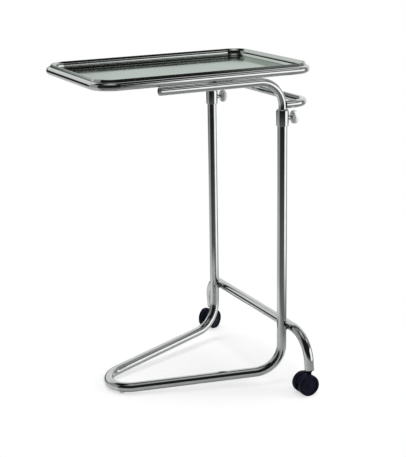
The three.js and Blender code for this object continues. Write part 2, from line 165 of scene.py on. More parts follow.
def split_runs(points, ways, longest):
    """Adds stations along the straight runs, none farther apart than `longest`."""
    fine_points, fine_ways = [points[0]], [ways[0]]
    for a, b, way in zip(points, points[1:], ways[1:]):
        pieces = max(1, math.ceil((b - a).length / longest))
        for k in range(1, pieces + 1):
            fine_points.append(a.lerp(b, k / pieces))
            fine_ways.append(way)
    return fine_points, fine_ways


def rings_along(ways):
    """A pair of unit vectors across the path at each station, turned as little as possible."""
    across = ways[0].orthogonal().normalized()
    if abs(ways[0].z) < STEEP:
        across = ways[0].cross(Vector((0, 0, 1))).normalized()
    pairs = []
    for way in ways:
        across = (across - way * across.dot(way)).normalized()
        pairs.append((across, way.cross(across)))
    return pairs


def tube_mesh(points, ways, outer, inner=0.0, sides=TUBE_SIDES, closed=False):
    """A pipe, or a bar when inner is 0. The UV is metres along and metres round."""
    pairs = rings_along(ways)
    verts, uv, faces = [], [], []
    lengths = [0.0]
    for a, b in zip(points, points[1:]):
        lengths.append(lengths[-1] + (b - a).length)
    skins = [outer] + ([inner] if inner > 0 else [])
    for radius in skins:
        for (side, up), point, length in zip(pairs, points, lengths):
            for k in range(sides):
                angle = 2 * math.pi * k / sides
                verts.append(point + side * (radius * math.cos(angle)) + up * (radius * math.sin(angle)))
                uv.append((length, radius * angle))
    rows = len(points)
    spans = rows if closed else rows - 1
    for skin in range(len(skins)):
        start = skin * rows * sides
        for r in range(spans):
            a = start + r * sides
            b = start + ((r + 1) % rows) * sides
            for k in range(sides):
                n = (k + 1) % sides
                quad = [a + k, a + n, b + n, b + k]
                faces.append(quad if skin == 0 else quad[::-1])
    if not closed:
        last = (rows - 1) * sides
        if inner > 0:
            inside = rows * sides
            for k in range(sides):
                n = (k + 1) % sides
                faces.append([k, inside + k, inside + n, n])
                faces.append([last + k, last + n, inside + last + n, inside + last + k])
        else:
            faces.append(list(range(sides))[::-1])
            faces.append([last + k for k in range(sides)])
    return verts, faces, uv


def tube(name, corners, radii, outer, inner, body, material, closed=False):
    """A bent pipe that stands for the CAD node of the same name."""
    points, ways = bent_path(corners, radii, closed)
    if not closed:
        points, ways = split_runs(points, ways, RUN_STEP)
    verts, faces, uv = tube_mesh(points, ways, outer, inner, closed=closed)
    new_piece(name, verts, faces, body, material, [name], uv)


def rounded(profile, radius, steps=5):
    """The profile with each corner but the two ends turned into an arc of about this radius."""
    points = [Vector(p) for p in profile]
    made = [points[0]]
    for before, corner, after in zip(points, points[1:], points[2:]):
        into, out = corner - before, after - corner
        turn = into.angle(out, 0.0)
        if turn < STRAIGHT:
            made.append(corner)
            continue
        reach = min(radius * math.tan(turn / 2), into.length * EDGE_SHARE, out.length * EDGE_SHARE)
        start, end = corner - into.normalized() * reach, corner + out.normalized() * reach
        for k in range(steps + 1):
            t = k / steps
            made.append(start * (1 - t) ** 2 + corner * (2 * t * (1 - t)) + end * t**2)
    made.append(points[-1])
    return made


AXES = {
    "x": (Vector((0, 1, 0)), Vector((0, 0, 1)), Vector((1, 0, 0))),
    "y": (Vector((0, 0, 1)), Vector((1, 0, 0)), Vector((0, 1, 0))),
    "z": (Vector((1, 0, 0)), Vector((0, 1, 0)), Vector((0, 0, 1))),
}


def turned_mesh(profile, axis, centre, sides, closed):
    """A profile of (radius, height) turned round an axis through centre."""
    side, up, along = AXES[axis]
    verts, uv, faces = [], [], []
    length = 0.0
    rows = []
    for i, (radius, height) in enumerate(profile):
        if i:
            length += (Vector(profile[i]) - Vector(profile[i - 1])).length
        if radius < ON_AXIS:
            rows.append([len(verts)])
            verts.append(centre + along * height)
            uv.append((length, 0.0))
            continue
        rows.append(list(range(len(verts), len(verts) + sides)))
        for k in range(sides):
            angle = 2 * math.pi * k / sides
            verts.append(
                centre + side * (radius * math.cos(angle)) + up * (radius * math.sin(angle)) + along * height
            )
            uv.append((length, radius * angle))
    pairs = list(zip(rows, rows[1:]))
    if closed:
        pairs.append((rows[-1], rows[0]))
    for low, high in pairs:
        for k in range(sides):
            n = (k + 1) % sides
            if len(low) == 1 and len(high) == 1:
                continue
            if len(low) == 1:
                faces.append([low[0], high[n], high[k]])
            elif len(high) == 1:
                faces.append([low[k], low[n], high[0]])
            else:
                faces.append([low[k], low[n], high[n], high[k]])
    return verts, faces, uv


def turned(name, profile, axis, centre, body, material, slot, round_by=0.4 * MM, sides=64, **more):
    """A turned piece with its edges broken. The profile's outside edge rises along the axis."""
    closed = profile[0][0] > 0
    if closed:
        middle = (Vector(profile[0]) + Vector(profile[-1])) / 2
        profile = [tuple(middle)] + list(profile) + [tuple(middle)]
    smooth = rounded(profile, round_by)
    if closed:
        smooth = smooth[:-1]
    verts, faces, uv = turned_mesh([tuple(p) for p in smooth], axis, Vector(centre), sides, closed)
    nodes = more.get("nodes", [name])
    new_piece(name, verts, faces, body, material, nodes, uv, more.get("move"))


# ------------------------------------------------------------------ material helpers
class Shader:
    """A Principled material with short calls for its nodes."""

    def __init__(self, name, **settings):
        self.material = bpy.data.materials.new(name)
        self.material.use_nodes = True
        self.tree = self.material.node_tree
        self.tree.nodes.clear()
        output = self.tree.nodes.new("ShaderNodeOutputMaterial")
        self.surface = self.tree.nodes.new("ShaderNodeBsdfPrincipled")
        self.tree.links.new(self.surface.outputs["BSDF"], output.inputs["Surface"])
        for socket, value in settings.items():
            self.surface.inputs[socket.replace("_", " ")].default_value = value

    def add(self, kind, inputs=None, **settings):
        made = self.tree.nodes.new("ShaderNode" + kind)
        for key, value in settings.items():
            setattr(made, key, value)
        for key, value in (inputs or {}).items():
            self.join(made.inputs[key], value)
        return made

    def join(self, socket, value):
        if isinstance(value, bpy.types.NodeSocket):
            self.tree.links.new(value, socket)
        else:
            socket.default_value = value

    def set(self, socket, value):
        self.join(self.surface.inputs[socket], value)

    def place(self):
        return self.add("TexCoord").outputs["Object"]

    def wrap(self):
        return self.add("UVMap", uv_map="wrap").outputs["UV"]

    def stretch(self, vector, scale):
        return self.add("Mapping", {"Vector": vector, "Scale": scale}).outputs["Vector"]

    def noise(self, vector, scale, detail=4.0, rough=0.55):
        inputs = {"Vector": vector, "Scale": scale, "Detail": detail, "Roughness": rough}
        return self.add("TexNoise", inputs).outputs["Fac"]

    def fit(self, value, low, high, to_low, to_high):
        """The value's stretch from low to high, moved to the other stretch and held there."""
        inputs = {"Value": value, "From Min": low, "From Max": high, "To Min": to_low, "To Max": to_high}
        return self.add("MapRange", inputs).outputs["Result"]

    def math(self, operation, a, b):
        return self.add("Math", {0: a, 1: b}, operation=operation).outputs["Value"]

    def blend(self, factor, a, b):
        made = self.add("Mix", data_type="RGBA")
        self.join(made.inputs["Factor"], factor)
        self.join(made.inputs["A"], a)
        self.join(made.inputs["B"], b)
        return made.outputs["Result"]

    def bump(self, height, strength, distance):
        made = self.add("Bump", {"Height": height, "Strength": strength, "Distance": distance})
        self.set("Normal", made.outputs["Normal"])


def rgba(r, g, b):
    return (r, g, b, 1.0)


def polished_steel():
    """Polished stainless tube: fine lines along it, wiped smudges, and scuffs near the floor."""
    shader = Shader("polished_stainless", Metallic=1.0, IOR=2.5)
    place, wrap = shader.place(), shader.wrap()
    smudge = shader.noise(place, scale=26.0)
    lines = shader.noise(shader.stretch(wrap, (30.0, 2600.0, 1.0)), scale=1.0, detail=3.0)
    height = shader.add("SeparateXYZ", {"Vector": place}).outputs["Z"]
    scuff_top, scuff_full = 0.09, 0.01
    low = shader.fit(height, scuff_top, scuff_full, 0.0, 1.0)
    specks = shader.fit(shader.noise(place, scale=330.0, detail=2.0), 0.6, 0.74, 0.0, 1.0)
    scuff = shader.math("MULTIPLY", specks, low)
    wiped = shader.fit(smudge, 0.35, 0.7, 0.035, 0.085)
    lined = shader.fit(lines, 0.3, 0.7, 0.0, 0.03)
    worn = shader.math("MULTIPLY", scuff, 0.16)
    roughness = shader.math("ADD", shader.math("ADD", wiped, lined), worn)
    shader.set("Roughness", roughness)
    clean, smudged = rgba(0.62, 0.64, 0.63), rgba(0.56, 0.58, 0.58)
    scuffed = rgba(0.36, 0.36, 0.36)
    tint = shader.blend(shader.fit(smudge, 0.3, 0.7, 0.0, 1.0), clean, smudged)
    shader.set("Base Color", shader.blend(scuff, tint, scuffed))
    shader.bump(lines, strength=0.035, distance=0.1 * MM)
    return shader.material


def satin_steel():
    """Pressed tray sheet: a fine satin grain along its length with light scratches from use."""
    shader = Shader("satin_stainless", Metallic=1.0, IOR=2.5)
    shader.set("Specular Tint", rgba(0.66, 0.71, 0.68))
    place = shader.place()
    grain = shader.noise(shader.stretch(place, (40.0, 900.0, 900.0)), scale=1.0, detail=5.0, rough=0.65)
    cloud = shader.noise(place, scale=9.0)
    lines = []
    scratch_fields = ((0.5, 34.0), (-0.9, 27.0), (1.9, 41.0))  # each one's turn in radians and its scale
    for turn, scale in scratch_fields:
        inputs = {"Vector": place, "Rotation": (0.0, 0.0, turn)}
        turned_place = shader.add("Mapping", inputs).outputs["Vector"]
        long_and_thin = (scale / 12, scale * 9, scale)
        field = shader.noise(shader.stretch(turned_place, long_and_thin), scale=1.0, detail=1.0)
        lines.append(shader.fit(field, 0.735, 0.76, 0.0, 1.0))
    scratches = shader.math("MAXIMUM", shader.math("MAXIMUM", lines[0], lines[1]), lines[2])
    satin = shader.fit(grain, 0.3, 0.7, 0.06, 0.11)
    clouded = shader.fit(cloud, 0.35, 0.7, -0.02, 0.03)
    scratched = shader.math("MULTIPLY", scratches, 0.12)
    shader.set("Roughness", shader.math("ADD", shader.math("ADD", satin, clouded), scratched))
    clean, dulled = rgba(0.61, 0.64, 0.61), rgba(0.56, 0.60, 0.57)
    scratched_steel = rgba(0.72, 0.74, 0.73)
    tint = shader.blend(shader.fit(cloud, 0.3, 0.7, 0.0, 1.0), clean, dulled)
    shader.set("Base Color", shader.blend(scratches, tint, scratched_steel))
    shader.bump(shader.math("SUBTRACT", grain, scratches), strength=0.08, distance=0.1 * MM)
    return shader.material


def weld_metal():
    """Bead left as welded: dull, rippled, with straw and blue heat tint."""
    shader = Shader("weld_bead", Metallic=1.0, IOR=2.5)
    place = shader.place()
    heat = shader.noise(place, scale=160.0, detail=3.0)
    ramp = shader.add("ValToRGB", {"Fac": heat})
    stops = ramp.color_ramp.elements
    blue, bare = stops[0], stops[1]
    blue.position, blue.color = 0.34, rgba(0.16, 0.15, 0.17)
    bare.position, bare.color = 0.68, rgba(0.46, 0.44, 0.42)
    straw = stops.new(0.5)
    straw.color = rgba(0.30, 0.26, 0.22)
    shader.set("Base Color", ramp.outputs["Color"])
    shader.set("Roughness", shader.fit(shader.noise(place, scale=700.0), 0.3, 0.7, 0.26, 0.5))
    shader.bump(shader.noise(place, scale=1500.0), strength=0.35, distance=0.15 * MM)
    return shader.material


def plated_steel():
    """Bright zinc plate on screws, stems and axles, a little dulled in patches."""
    shader = Shader("bright_plate", Metallic=1.0, IOR=2.5)
    place = shader.place()
    patch = shader.noise(place, scale=240.0)
    shader.set("Roughness", shader.fit(patch, 0.3, 0.7, 0.16, 0.38))
    dull, bright = rgba(0.40, 0.41, 0.43), rgba(0.55, 0.55, 0.54)
    shader.set("Base Color", shader.blend(patch, dull, bright))
    turning_lines = shader.noise(shader.stretch(shader.wrap(), (2500.0, 60.0, 1.0)), scale=1.0)
    shader.bump(turning_lines, strength=0.1, distance=0.1 * MM)
    return shader.material


def white_nylon():
    """Moulded natural nylon: milky, softly shining, slightly yellowed where hands rub it."""
    shader = Shader("natural_nylon", Subsurface_Weight=0.22, Subsurface_Scale=0.004, IOR=1.53)
    shader.surface.inputs["Subsurface Radius"].default_value = (1.0, 0.9, 0.8)
    place = shader.place()
    cloud = shader.noise(place, scale=70.0)
    fresh, handled = rgba(0.83, 0.87, 0.88), rgba(0.80, 0.82, 0.79)
    shader.set("Base Color", shader.blend(shader.fit(cloud, 0.35, 0.7, 0.0, 1.0), fresh, handled))
    shader.set("Roughness", shader.fit(shader.noise(place, scale=300.0), 0.3, 0.7, 0.34, 0.5))
    shader.bump(shader.noise(place, scale=1900.0, detail=2.0), strength=0.12, distance=0.1 * MM)
    return shader.material


def black_plastic():
    """Moulded black plastic with a fine spark-eroded grain and grey rub marks."""
    shader = Shader("black_moulding", IOR=1.5, Specular_IOR_Level=0.1)
    place = shader.place()
    rub = shader.fit(shader.noise(place, scale=120.0), 0.6, 0.8, 0.0, 1.0)
    moulded, rubbed = rgba(0.003, 0.004, 0.012), rgba(0.009, 0.011, 0.022)
    shader.set("Base Color", shader.blend(rub, moulded, rubbed))
    shader.set("Roughness", shader.fit(shader.noise(place, scale=420.0), 0.3, 0.7, 0.36, 0.52))
    shader.bump(shader.noise(place, scale=3200.0, detail=2.0), strength=0.22, distance=0.1 * MM)
    return shader.material


def tyre_rubber():
    """Hard black tread: matt, with dust worked into the rolling face."""
    shader = Shader("black_tread", IOR=1.5, Specular_IOR_Level=0.1)
    place = shader.place()
    dust = shader.fit(shader.noise(place, scale=180.0, detail=6.0), 0.52, 0.78, 0.0, 1.0)
    clean, dusty = rgba(0.003, 0.004, 0.011), rgba(0.018, 0.019, 0.026)
    shader.set("Base Color", shader.blend(dust, clean, dusty))
    shader.set("Roughness", shader.fit(dust, 0.0, 1.0, 0.5, 0.75))
    shader.bump(shader.noise(place, scale=1400.0, detail=4.0), strength=0.3, distance=0.15 * MM)
    return shader.material


STEEL = polished_steel()
SATIN = satin_steel()
WELD = weld_metal()
PLATE = plated_steel()
NYLON = white_nylon()
MOULDING = black_plastic()
TREAD = tyre_rubber()


# ------------------------------------------------------------------ lower frame
def base_frame():
    """One tube: down a post, forward along a leg, round the toe, and back up the other post."""
    half_angle = math.atan2(POST_Y, LEG_REACH)
    toe_x = LEG_REACH - TOE_RADIUS * (1 / math.sin(half_angle) - 1)
    apex_z = LEG_Z - (LEG_Z - TOE_Z) * LEG_REACH / toe_x
    corners = [
        (POSTS_X, -POST_Y, POST_TOP),
        (POSTS_X, -POST_Y, LEG_Z),
        (POSTS_X - LEG_REACH, 0, apex_z),
        (POSTS_X, POST_Y, LEG_Z),
        (POSTS_X, POST_Y, POST_TOP),
    ]
    radii = [FOOT_RADIUS, TOE_RADIUS, FOOT_RADIUS]
    tube("base_frame_tube", corners, radii, LOWER_OUTER, LOWER_INNER, "base", STEEL)


def crossbar():
    """An upside-down U behind the posts, its arms leaning back on the way down to the casters."""
    corners = [
        (ARM_END_X, -ARM_Y, ARM_END_Z),
        (CROSSBAR_X, -ARM_Y, CROSSBAR_Z),
        (CROSSBAR_X, ARM_Y, CROSSBAR_Z),
        (ARM_END_X, ARM_Y, ARM_END_Z),
    ]
    radii = [ARM_RADIUS, ARM_RADIUS]
    tube("caster_crossbar", corners, radii, LOWER_OUTER, LOWER_INNER, "base", STEEL)


def bead_loop(centre, along, across, half_length, half_width, thickness, ripples):
    """A closed rippled weld bead round a contact: an oval ring in the plane of along and across."""
    steps, sides = 160, 20
    ripple_depth, lump_depth, lumps, lump_phase = 0.09, 0.05, 5, 1.3
    normal = along.cross(across)
    verts, uv, faces = [], [], []
    for i in range(steps):
        angle = 2 * math.pi * i / steps
        spot = centre + along * (half_length * math.cos(angle)) + across * (half_width * math.sin(angle))
        outward = (spot - centre).normalized()
        ripple = 1 + ripple_depth * math.sin(ripples * angle)
        ripple += lump_depth * math.sin(lumps * angle + lump_phase)
        for k in range(sides):
            turn = 2 * math.pi * k / sides
            verts.append(spot + (outward * math.cos(turn) + normal * math.sin(turn)) * (thickness * ripple))
            uv.append((angle, turn))
    for i in range(steps):
        a, b = i * sides, ((i + 1) % steps) * sides
        for k in range(sides):
            n = (k + 1) % sides
            faces.append([a + k, b + k, b + n, a + n])
    return verts, faces, uv


def crossbar_weld(name, side):
    """Round bead where the crossbar touches a post."""
    contact, bead, ripples = 8.2 * MM, 2.5 * MM, 26
    centre = Vector(((POSTS_X + CROSSBAR_X) / 2, side * POST_Y, CROSSBAR_Z))
    along, across = Vector((0, 1, 0)), Vector((0, 0, 1))
    verts, faces, uv = bead_loop(centre, along, across, contact, contact, bead, ripples)
    piece = f"{name}_crossbar_weld"
    new_piece(piece, verts, faces, "base", WELD, [piece], uv)


def collar(name, side):
    """Clamp collar with a domed shoulder and a boss for its screw."""
    bottom, top = COLLAR_LOW.z, COLLAR_HIGH.z
    outer = (COLLAR_HIGH.y - COLLAR_LOW.y) / 2
    bore = LOWER_OUTER + GAP
    mouth = UPPER_OUTER + GAP
    rise, flat_lip, dome_steps = 7 * MM, 0.8 * MM, 8
    throat, seat = top - 8 * MM, top - 8.4 * MM
    width = outer - mouth - flat_lip
    dome = [(outer, top - rise)]
    for k in range(1, dome_steps + 1):
        angle = math.pi / 2 * k / dome_steps
        dome.append((outer - width * (1 - math.cos(angle)), top - rise * (1 - math.sin(angle))))
    profile = [(bore, bottom), (outer, bottom)] + dome
    profile += [(mouth, top), (mouth, throat), (bore, seat)]
    centre = (POSTS_X, side * POST_Y, 0)
    piece = f"{name}_post_collar"
    turned(piece, profile, "z", centre, "base", STEEL, "polished_steel", 0.7 * MM)
    boss_start, boss_end = 15 * MM, COLLAR_HIGH.x - POSTS_X
    boss_radius, hole = 7 * MM, 3.6 * MM
    boss = [(hole, boss_start), (boss_radius, boss_start), (boss_radius, boss_end), (hole, boss_end)]
    middle = (POSTS_X, side * POST_Y, CLAMP_Z)
    boss_name = f"{name}_collar_boss"
    turned(boss_name, boss, "x", middle, "base", STEEL, "polished_steel", 0.8 * MM, 40, nodes=[piece])


def guide_bush(name, side):
    """Flanged sleeve in the mouth of a post, in which the upright slides."""
    low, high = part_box(f"{name}_guide_bush")
    inner, flange = UPPER_OUTER + GAP / 2, (high.y - low.y) / 2
    sleeve, flange_foot = 12.5 * MM, high.z - 3 * MM
    profile = [
        (inner, low.z),
        (sleeve, low.z),
        (sleeve, flange_foot),
        (flange, flange_foot),
        (flange, high.z),
        (inner, high.z),
    ]
    centre = (POSTS_X, side * POST_Y, 0)
    turned(f"{name}_guide_bush", profile, "z", centre, "base", NYLON, "white_nylon")


def toe_glide(name, side):
    """Low button under the toe, its foot chamfered."""
    low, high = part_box(f"{name}_toe_glide")
    centre = ((low.x + high.x) / 2, (low.y + high.y) / 2, 0)
    radius = (high.x - low.x) / 2
    sole, brow = radius - 0.6 * MM, radius - 0.3 * MM
    profile = [(0, 0), (sole, 0), (radius, 1.2 * MM), (brow, high.z), (0, high.z)]
    turned(f"{name}_toe_glide", profile, "z", centre, "base", NYLON, "white_nylon")


def caster_socket(name, side):
    """Socket in the end of an arm, leaning with it."""
    lip, depth = 2.3 * MM, 15 * MM
    bore, shank = 5.6 * MM, LOWER_INNER - GAP
    profile = [
        (bore, -lip),
        (LOWER_OUTER, -lip),
        (LOWER_OUTER, -GAP),
        (shank, -GAP),
        (shank, depth),
        (bore, depth),
    ]
    piece = f"{name}_caster_socket"
    centre = (ARM_END_X, side * ARM_Y, ARM_END_Z)
    pivot = Matrix.Translation(centre)
    lean = pivot @ Matrix.Rotation(-ARM_LEAN, 4, "Y") @ pivot.inverted()
    turned(piece, profile, "z", centre, "base", MOULDING, "black_plastic", 0.5 * MM, move=lean)


# ------------------------------------------------------------------ clamp screws
def clamp_pad(name, side):
    """Soft tip of a clamp screw, which bears on the upright."""
    low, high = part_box(f"{name}_clamp_pad")
    start, end = low.x - POSTS_X, high.x - POSTS_X
    radius = 2.8 * MM
    profile = [(0, start), (radius, start), (radius, end), (0, end)]
    centre = (POSTS_X, side * POST_Y, CLAMP_Z)
    turned(f"{name}_clamp_pad", profile, "x", centre, f"{name}_clamp", NYLON, "white_nylon", 0.3 * MM, 32)


def clamp_screw(name, side):
    """Threaded shank with a turned shoulder that the knob seats on."""
    start, end = SCREW_LOW.x - POSTS_X, SCREW_HIGH.x - POSTS_X
    crest, root, pitch = 3.2 * MM, 2.75 * MM, 1.25 * MM
    shoulder, shoulder_end, shoulder_radius = 27.5 * MM, 31.6 * MM, 5 * MM
    flank, ridge = 0.1 * pitch, 0.55 * pitch
    profile = [(0, start), (root, start)]
    turns = int((shoulder - start) / pitch)
    for k in range(turns):
        foot = start + k * pitch
        profile += [(root, foot + flank), (crest, foot + ridge), (root, foot + pitch)]
    profile += [(shoulder_radius, shoulder), (shoulder_radius, shoulder_end)]
    profile += [(root, shoulder_end), (root, end), (0, end)]
    centre = (POSTS_X, side * POST_Y, CLAMP_Z)
    body = f"{name}_clamp"
    turned(f"{name}_clamp_screw", profile, "x", centre, body, PLATE, "plated_steel", 0.15 * MM, 40)


def clamp_knob(name, side):
    """Round hand knob: finely fluted rim, dished front face round the screw, domed back."""
    start, end = KNOB_LOW.x - POSTS_X, KNOB_HIGH.x - POSTS_X
    radius = (KNOB_HIGH.z - KNOB_LOW.z) / 2
    hub, hole = 7 * MM, 3.6 * MM
    hole_end = SCREW_HIGH.x - POSTS_X + GAP
    dish, dish_rim = start + 1.5 * MM, radius - 4 * MM
    outline = [
        (0, hole_end),
        (hole, hole_end),
        (hole, start),
        (hub, start),
        (hub + 1 * MM, dish),
        (dish_rim, dish),
        (radius - 3 * MM, start),
        (radius, start + 3 * MM),
        (radius, end - 5 * MM),
        (dish_rim, end - 1 * MM),
        (0, end),
    ]
    profile = rounded(outline, 1.2 * MM, steps=6)
    sides, flutes = 168, 28
    flute_depth, fluted_from = 0.45 * MM, 0.9  # the flutes run out at this share of the radius
    centre = Vector((POSTS_X, side * POST_Y, CLAMP_Z))
    verts, faces, uv = turned_mesh([tuple(p) for p in profile], "x", centre, sides, False)
    for vert in verts:
        arm = Vector((0, vert.y - centre.y, vert.z - centre.z))
        edge = (arm.length / radius - fluted_from) / (1 - fluted_from)
        if edge > 0:
            angle = math.atan2(arm.z, arm.y)
            dip = flute_depth * edge * (0.5 + 0.5 * math.cos(flutes * angle))
            vert -= arm.normalized() * dip
    piece = f"{name}_clamp_knob"
    new_piece(piece, verts, faces, f"{name}_clamp", NYLON, [piece], uv)


# ------------------------------------------------------------------ casters
def swivel(name, side):
    """Turn of a caster about its stem, from trailing along -X to where the CAD has it."""
    axle_low, axle_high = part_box(f"{name}_caster_axle")
    stem = Vector((ARM_END_X, side * ARM_Y, 0))
    trail = (axle_low + axle_high) / 2 - stem
    pivot = Matrix.Translation(stem)
    return pivot @ Matrix.Rotation(math.atan2(-trail.y, -trail.x), 4, "Z") @ pivot.inverted()


def caster_body(name, side):
    """Hood between the two wheels, with its neck, stem boss and axle boss."""
    centre = Vector((AXLE_X, side * ARM_Y, AXLE_Z))
    web, hood, nose = 13 * MM, 29.5 * MM, 13 * MM
    outline = []
    for radius, start, sweep, steps in ((hood, 10, 160, 40), (nose, 180, 180, 24)):
        for k in range(steps + 1):
            angle = math.radians(start + sweep * k / steps)
            outline.append(Vector((radius * math.cos(angle), 0, radius * math.sin(angle))))
    verts, faces = [], []
    # The broken edge of the hood: distances across it, each with how far the outline draws in there.
    rims = [(-web / 2, 1.2 * MM), (-web / 2 + 0.5 * MM, 0.35 * MM), (-web / 2 + 1.4 * MM, 0.0)]
    rims += [(-y, inset) for y, inset in reversed(rims)]
    for y, inset in rims:
        for point in outline:
            verts.append(centre + point * (1 - inset / point.length) + Vector((0, y, 0)))
    count = len(outline)
    for row in range(len(rims) - 1):
        a, b = row * count, (row + 1) * count
        for k in range(count):
            n = (k + 1) % count
            faces.append([a + k, b + k, b + n, a + n])
    faces.append(list(range(count)))
    faces.append([(len(rims) - 1) * count + k for k in range(count)][::-1])
    piece = f"{name}_caster_body"
    body = f"{name}_caster"
    move = swivel(name, side)
    new_piece(piece, verts, faces, body, MOULDING, [piece], None, move)
    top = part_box(piece)[1].z
    foot, boss_radius = AXLE_Z + hood / 2, 8.5 * MM
    neck_top, boss_foot = AXLE_Z + WHEEL_RADIUS + 0.4 * MM, AXLE_Z + WHEEL_RADIUS + 2.6 * MM
    neck = [
        (0, foot),
        (web / 2, foot),
        (web / 2, neck_top),
        (boss_radius, boss_foot),
        (boss_radius, top),
        (0, top),
    ]
    boss_centre = (ARM_END_X, side * ARM_Y, 0)
    boss = f"{name}_caster_stem_boss"
    more = {"nodes": [piece], "move": move}
    turned(boss, neck, "z", boss_centre, body, MOULDING, "black_plastic", 1.0 * MM, 48, **more)


def caster_stem(name, side):
    """Pin in the socket, on which the caster turns."""
    radius = (STEM_HIGH.x - STEM_LOW.x) / 2
    profile = [(0, STEM_LOW.z), (radius, STEM_LOW.z), (radius, STEM_HIGH.z), (0, STEM_HIGH.z)]
    centre = (ARM_END_X, side * ARM_Y, 0)
    body = f"{name}_caster"
    turned(f"{name}_caster_stem", profile, "z", centre, body, PLATE, "plated_steel", 0.5 * MM, 32)


def caster_axle(name, side):
    """Pin through the caster's body and both its wheels."""
    half, radius = (AXLE_HIGH.y - AXLE_LOW.y) / 2, (AXLE_HIGH.x - AXLE_LOW.x) / 2
    profile = [(0, -half), (radius, -half), (radius, half), (0, half)]
    centre = (AXLE_X, side * ARM_Y, AXLE_Z)
    piece, body = f"{name}_caster_axle", f"{name}_caster"
    move = swivel(name, side)
    turned(piece, profile, "y", centre, body, PLATE, "plated_steel", 0.5 * MM, 32, move=move)


def wheel(name, which, side):
    """One wheel: a dished hub with a raised ring and cap, and a separate tread with soft shoulders."""
    outward = side if which == "outer" else -side
    inner, outer = sorted(abs(y + ARM_Y) for y in (TYRE_LOW.y, TYRE_HIGH.y))
    hub, bore = 25.5 * MM, 2.8 * MM
    radius = WHEEL_RADIUS
    face, ring, cap_back = outer - 0.3 * MM, outer - 2.0 * MM, outer - 0.9 * MM
    hub_profile = [
        (0, cap_back),
        (bore, cap_back),
        (bore, inner),
        (hub, inner),
        (hub, face),
        (hub - 2.2 * MM, face),
        (hub - 3.6 * MM, outer - 2.4 * MM),
        (hub - 8 * MM, outer - 3.0 * MM),
        (hub - 9 * MM, ring),
        (8 * MM, ring),
        (7 * MM, outer - 1.0 * MM),
        (bore, face),
        (0, outer - 0.2 * MM),
    ]
    tyre_profile = [
        (hub + GAP, inner),
        (radius - 2 * MM, inner),
        (radius, inner + 2 * MM),
        (radius, outer - 5 * MM),
        (radius - 1.2 * MM, outer - 1.6 * MM),
        (radius - 3.4 * MM, outer),
        (hub + GAP, outer),
    ]
    body = f"{name}_{which}_wheel"
    centre = (AXLE_X, side * ARM_Y, AXLE_Z)
    move = swivel(name, side)
    jobs = (
        ("hub", hub_profile, MOULDING, "black_plastic", 0.5 * MM),
        ("tyre", tyre_profile, TREAD, "black_tyre", 1.4 * MM),
    )
    for part, profile, material, slot, round_by in jobs:
        if outward < 0:
            profile = [(r, -h) for r, h in reversed(profile)]
        turned(f"{body}_{part}", profile, "y", centre, body, material, slot, round_by, 96, move=move)


def wheels(name, side):
    wheel(name, "outer", side)
    wheel(name, "inner", side)


# ------------------------------------------------------------------ upper frame
def upright(name, side):
    """Tube that rises out of a post and turns forward under the ring."""
    corners = [
        (POSTS_X, side * POST_Y, UPRIGHT_END_Z),
        (POSTS_X, side * POST_Y, SUPPORT_Z),
        (SUPPORT_FRONT, side * POST_Y, SUPPORT_Z),
    ]
    piece = f"{name}_upright_tube"
    tube(piece, corners, [UPRIGHT_RADIUS], UPPER_OUTER, UPPER_INNER, "upper_frame", STEEL)


def slide_plug(name, side):
    """Nylon foot of an upright, a sliding fit in the post."""
    low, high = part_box(f"{name}_slide_plug")
    slide, spigot = (high.y - low.y) / 2, UPPER_INNER - GAP
    chamfer = 1.5 * MM
    profile = [
        (0, low.z),
        (slide - chamfer, low.z),
        (slide, low.z + chamfer),
        (slide, UPRIGHT_END_Z - GAP),
        (spigot, UPRIGHT_END_Z - GAP),
        (spigot, high.z),
        (0, high.z),
    ]
    centre = (POSTS_X, side * POST_Y, 0)
    turned(f"{name}_slide_plug", profile, "z", centre, "upper_frame", NYLON, "white_nylon")


def end_plug(name, side):
    """Pressed cap in the open front end of a support tube, its face slightly domed."""
    tip, spigot_end = PLUG_LOW.x, PLUG_HIGH.x
    spigot = UPPER_INNER - GAP
    profile = [
        (0, tip),
        (4 * MM, tip + 0.1 * MM),
        (UPPER_OUTER - 2.2 * MM, tip + 0.6 * MM),
        (UPPER_OUTER, tip + 2 * MM),
        (UPPER_OUTER, SUPPORT_FRONT - GAP),
        (spigot, SUPPORT_FRONT - GAP),
        (spigot, spigot_end),
        (0, spigot_end),
    ]
    centre = (0, side * POST_Y, SUPPORT_Z)
    turned(f"{name}_front_end_plug", profile, "x", centre, "upper_frame", PLATE, "plated_steel", 0.8 * MM)


def tray_ring():
    """Closed rounded rectangle of tube that the tray rests in."""
    front, back = RING_LOW.x + UPPER_OUTER, RING_HIGH.x - UPPER_OUTER
    half = RING_HIGH.y - UPPER_OUTER
    corners = [(front, -half, RING_Z), (back, -half, RING_Z), (back, half, RING_Z), (front, half, RING_Z)]
    radii = [RING_RADIUS] * 4
    tube("tray_ring", corners, radii, UPPER_OUTER, UPPER_INNER, "upper_frame", STEEL, True)


def ring_tab(name, side):
    """Weld bead on both sides of the line where the ring lies on a support tube."""
    low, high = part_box(f"{name}_ring_tab")
    centre = (low + high) / 2
    along, across = Vector((1, 0, 0)), Vector((0, 1, 0))
    half_length, half_width, bead, ripples = 5.2 * MM, 4.6 * MM, 1.9 * MM, 15
    verts, faces, uv = bead_loop(centre, along, across, half_length, half_width, bead, ripples)
    piece = f"{name}_ring_tab"
    new_piece(piece, verts, faces, "upper_frame", WELD, [piece], uv)


